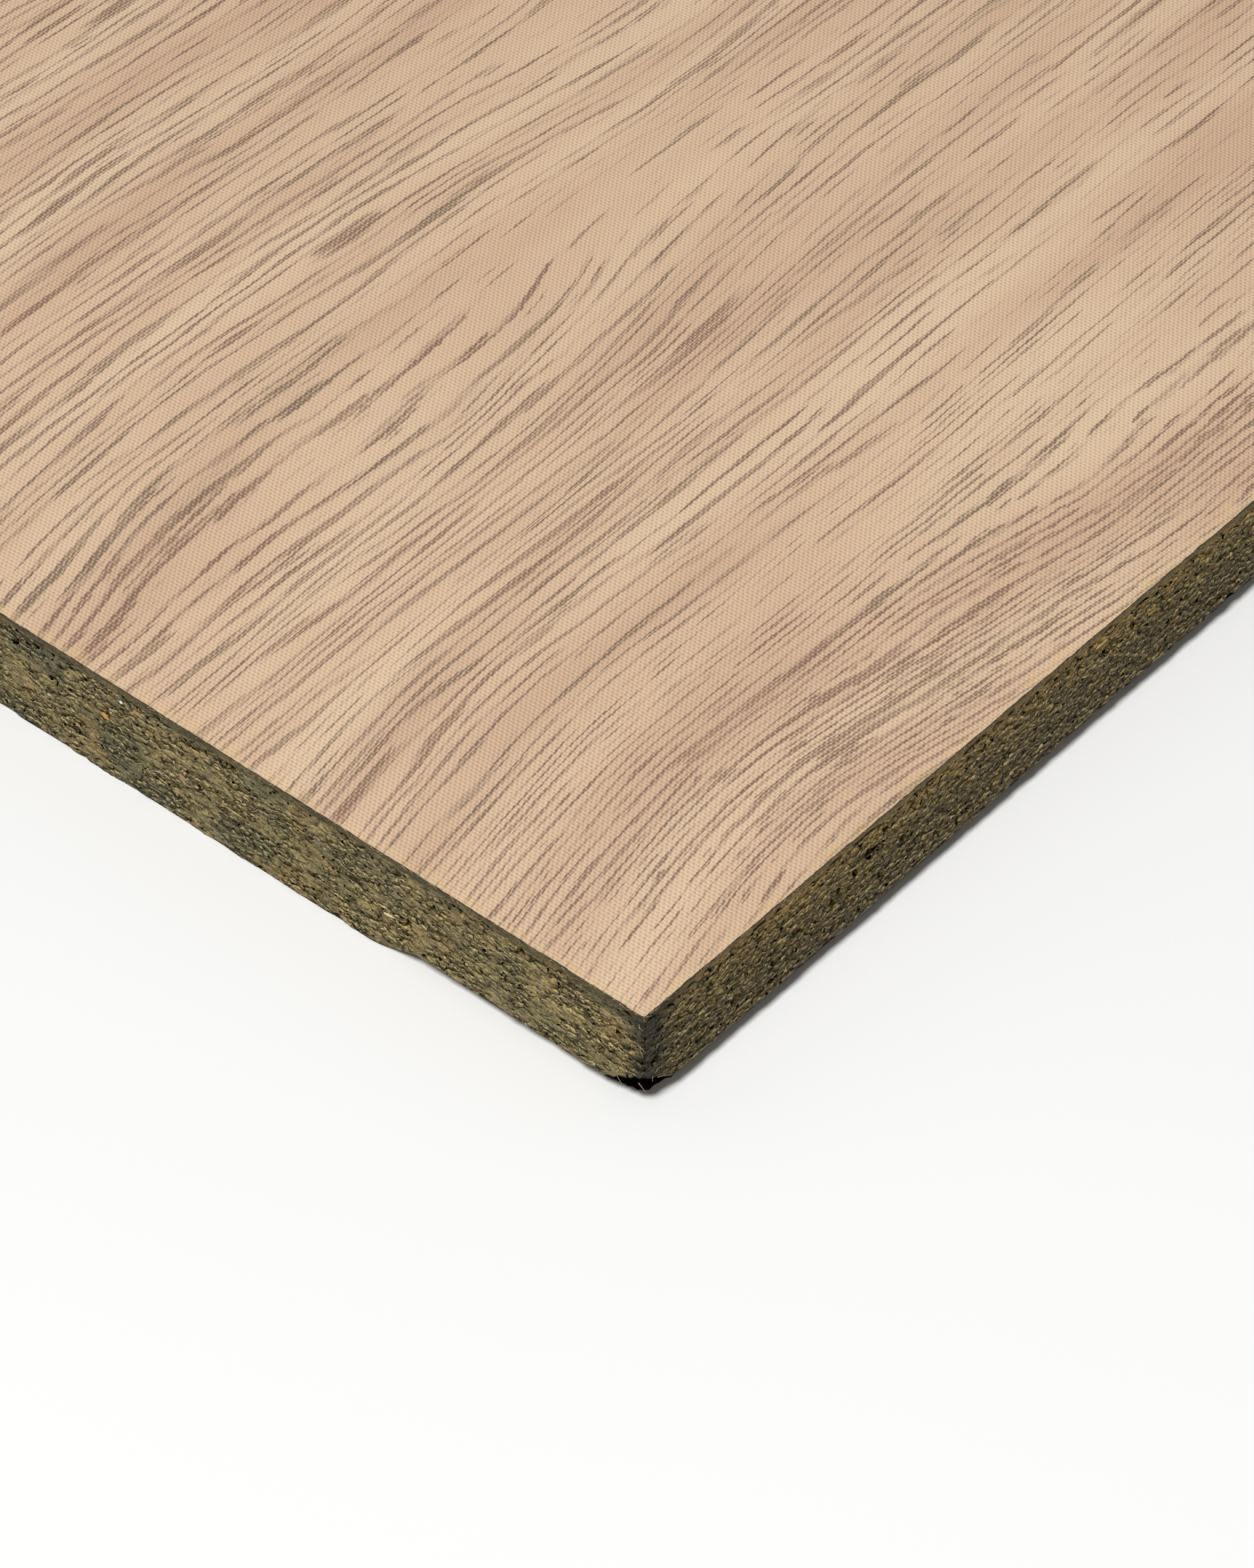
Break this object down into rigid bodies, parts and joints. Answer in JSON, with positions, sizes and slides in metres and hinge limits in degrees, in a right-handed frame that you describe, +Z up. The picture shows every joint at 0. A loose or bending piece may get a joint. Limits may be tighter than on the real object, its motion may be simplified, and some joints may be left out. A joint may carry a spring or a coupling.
{
  "type": "wood-look floor tile",
  "caption": "Square floor tile with a wood-print woven facing on a dark backing over a pressed fibre core, one lower corner chipped.",
  "frame": {"origin": "centre of the underside, at floor level", "axes": "+Z up out of the printed face; X and Y along the tile's edges; the chipped corner is at -X, -Y, and the printed grain runs roughly along X"},
  "size_m": [0.6, 0.6, 0.018],
  "materials": {
    "fibre_core": "khaki pressed fibre, cut edge, matt, pitted and granular",
    "dark_backing": "dark olive-grey bonding layer, cut edge, matt, finely striated",
    "printed_cloth": "fine plain weave printed with a pale oak grain, low sheen"
  },
  "bodies": {
    "root": {"core": "fibre_core", "face_backing": "dark_backing", "printed_facing": "printed_cloth"}
  },
  "joints": []
}
